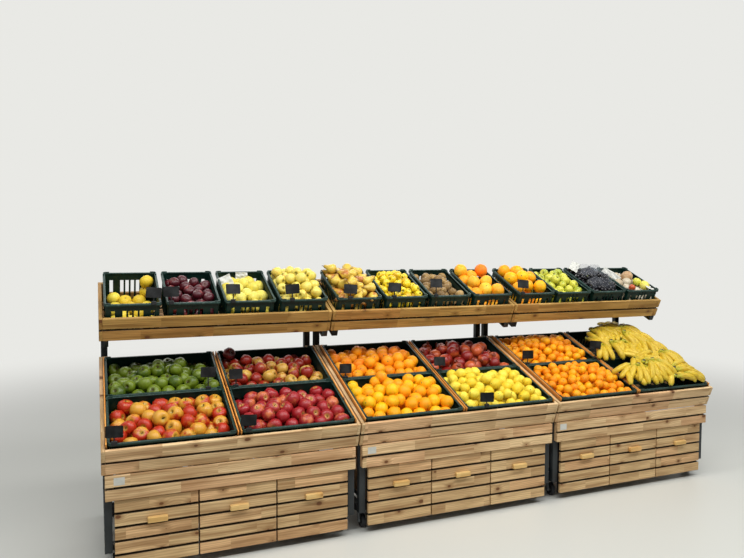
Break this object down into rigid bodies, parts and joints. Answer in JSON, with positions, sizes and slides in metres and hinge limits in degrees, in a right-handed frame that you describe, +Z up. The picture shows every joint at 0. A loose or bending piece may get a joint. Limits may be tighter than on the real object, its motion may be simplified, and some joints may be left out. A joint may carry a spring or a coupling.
{
  "type": "produce display stand",
  "caption": "Two-tier slatted wooden produce display on casters, a run of bays with crates of fruit, pull-out drawers below and an open gap between the tiers.",
  "frame": {"origin": "bottom centre of the whole display, on the floor", "axes": "+X along the run to the right as seen from the front, +Z up, the front faces -Y"},
  "size_m": [3.802, 0.905, 1.4514],
  "materials": {
    "wood": "oiled honey pine with knots",
    "steel": "slate powder coat",
    "crate_plastic": "moulded dark green, worn grey rims",
    "zinc": "zinc plated",
    "tyre": "grey rubber tread",
    "fruit": "fresh fruit skins"
  },
  "bodies": {
    "stand": {"bay1_frame": "steel", "bay1_tray_deck": "wood", "bay1_tray_box": "wood", "bay1_apron": "wood", "bay1_shelf_frame": "steel", "bay1_shelf_box": "wood", "bay1_crates": "crate_plastic", "bay1_fruit": "fruit", "bay2_frame": "steel", "bay2_tray_deck": "wood", "bay2_tray_box": "wood", "bay2_apron": "wood", "bay2_shelf_frame": "steel", "bay2_shelf_box": "wood", "bay2_crates": "crate_plastic", "bay2_fruit": "fruit", "bay3_frame": "steel", "bay3_tray_deck": "wood", "bay3_tray_box": "wood", "bay3_apron": "wood", "bay3_shelf_frame": "steel", "bay3_shelf_box": "wood", "bay3_crates": "crate_plastic", "bay3_fruit": "fruit", "rear_forks": "zinc", "rear_wheels": "tyre"},
    "bay1_drawer_left": {"bay1_drawer_left": "wood"},
    "bay1_drawer_middle": {"bay1_drawer_middle": "wood"},
    "bay1_drawer_right": {"bay1_drawer_right": "wood"},
    "bay1_fork_left": {"bay1_fork_left": "zinc"},
    "bay1_wheel_left": {"bay1_wheel_left": "tyre"},
    "bay1_fork_right": {"bay1_fork_right": "zinc"},
    "bay1_wheel_right": {"bay1_wheel_right": "tyre"},
    "bay2_drawer_left": {"bay2_drawer_left": "wood"},
    "bay2_drawer_middle": {"bay2_drawer_middle": "wood"},
    "bay2_drawer_right": {"bay2_drawer_right": "wood"},
    "bay2_fork_left": {"bay2_fork_left": "zinc"},
    "bay2_wheel_left": {"bay2_wheel_left": "tyre"},
    "bay2_fork_right": {"bay2_fork_right": "zinc"},
    "bay2_wheel_right": {"bay2_wheel_right": "tyre"},
    "bay3_drawer_left": {"bay3_drawer_left": "wood"},
    "bay3_drawer_middle": {"bay3_drawer_middle": "wood"},
    "bay3_drawer_right": {"bay3_drawer_right": "wood"},
    "bay3_fork_left": {"bay3_fork_left": "zinc"},
    "bay3_wheel_left": {"bay3_wheel_left": "tyre"},
    "bay3_fork_right": {"bay3_fork_right": "zinc"},
    "bay3_wheel_right": {"bay3_wheel_right": "tyre"}
  },
  "joints": [
    {"name": "bay1_drawer_left_slide", "type": "slide", "parent": "stand", "child": "bay1_drawer_left", "axis": [0, -1, 0], "range_m": [0, 0.4]},
    {"name": "bay1_drawer_middle_slide", "type": "slide", "parent": "stand", "child": "bay1_drawer_middle", "axis": [0, -1, 0], "range_m": [0, 0.4]},
    {"name": "bay1_drawer_right_slide", "type": "slide", "parent": "stand", "child": "bay1_drawer_right", "axis": [0, -1, 0], "range_m": [0, 0.4]},
    {"name": "bay1_caster_left_swivel", "type": "hinge", "parent": "stand", "child": "bay1_fork_left", "pos_m": [-1.84302, -0.28472, 0.11], "axis": [0, 0, 1], "continuous": true},
    {"name": "bay1_caster_left_wheel_spin", "type": "hinge", "parent": "bay1_fork_left", "child": "bay1_wheel_left", "pos_m": [-1.84302, -0.30272, 0.0375], "axis": [1, 0, 0], "continuous": true},
    {"name": "bay1_caster_right_swivel", "type": "hinge", "parent": "stand", "child": "bay1_fork_right", "pos_m": [-0.69698, -0.28472, 0.11], "axis": [0, 0, 1], "continuous": true},
    {"name": "bay1_caster_right_wheel_spin", "type": "hinge", "parent": "bay1_fork_right", "child": "bay1_wheel_right", "pos_m": [-0.69698, -0.30272, 0.0375], "axis": [1, 0, 0], "continuous": true},
    {"name": "bay2_drawer_left_slide", "type": "slide", "parent": "stand", "child": "bay2_drawer_left", "axis": [0, -1, 0], "range_m": [0, 0.4]},
    {"name": "bay2_drawer_middle_slide", "type": "slide", "parent": "stand", "child": "bay2_drawer_middle", "axis": [0, -1, 0], "range_m": [0, 0.4]},
    {"name": "bay2_drawer_right_slide", "type": "slide", "parent": "stand", "child": "bay2_drawer_right", "axis": [0, -1, 0], "range_m": [0, 0.4]},
    {"name": "bay2_caster_left_swivel", "type": "hinge", "parent": "stand", "child": "bay2_fork_left", "pos_m": [-0.57302, -0.28472, 0.11], "axis": [0, 0, 1], "continuous": true},
    {"name": "bay2_caster_left_wheel_spin", "type": "hinge", "parent": "bay2_fork_left", "child": "bay2_wheel_left", "pos_m": [-0.57302, -0.30272, 0.0375], "axis": [1, 0, 0], "continuous": true},
    {"name": "bay2_caster_right_swivel", "type": "hinge", "parent": "stand", "child": "bay2_fork_right", "pos_m": [0.57302, -0.28472, 0.11], "axis": [0, 0, 1], "continuous": true},
    {"name": "bay2_caster_right_wheel_spin", "type": "hinge", "parent": "bay2_fork_right", "child": "bay2_wheel_right", "pos_m": [0.57302, -0.30272, 0.0375], "axis": [1, 0, 0], "continuous": true},
    {"name": "bay3_drawer_left_slide", "type": "slide", "parent": "stand", "child": "bay3_drawer_left", "axis": [0, -1, 0], "range_m": [0, 0.4]},
    {"name": "bay3_drawer_middle_slide", "type": "slide", "parent": "stand", "child": "bay3_drawer_middle", "axis": [0, -1, 0], "range_m": [0, 0.4]},
    {"name": "bay3_drawer_right_slide", "type": "slide", "parent": "stand", "child": "bay3_drawer_right", "axis": [0, -1, 0], "range_m": [0, 0.4]},
    {"name": "bay3_caster_left_swivel", "type": "hinge", "parent": "stand", "child": "bay3_fork_left", "pos_m": [0.69698, -0.28472, 0.11], "axis": [0, 0, 1], "continuous": true},
    {"name": "bay3_caster_left_wheel_spin", "type": "hinge", "parent": "bay3_fork_left", "child": "bay3_wheel_left", "pos_m": [0.69698, -0.30272, 0.0375], "axis": [1, 0, 0], "continuous": true},
    {"name": "bay3_caster_right_swivel", "type": "hinge", "parent": "stand", "child": "bay3_fork_right", "pos_m": [1.84302, -0.28472, 0.11], "axis": [0, 0, 1], "continuous": true},
    {"name": "bay3_caster_right_wheel_spin", "type": "hinge", "parent": "bay3_fork_right", "child": "bay3_wheel_right", "pos_m": [1.84302, -0.30272, 0.0375], "axis": [1, 0, 0], "continuous": true}
  ]
}
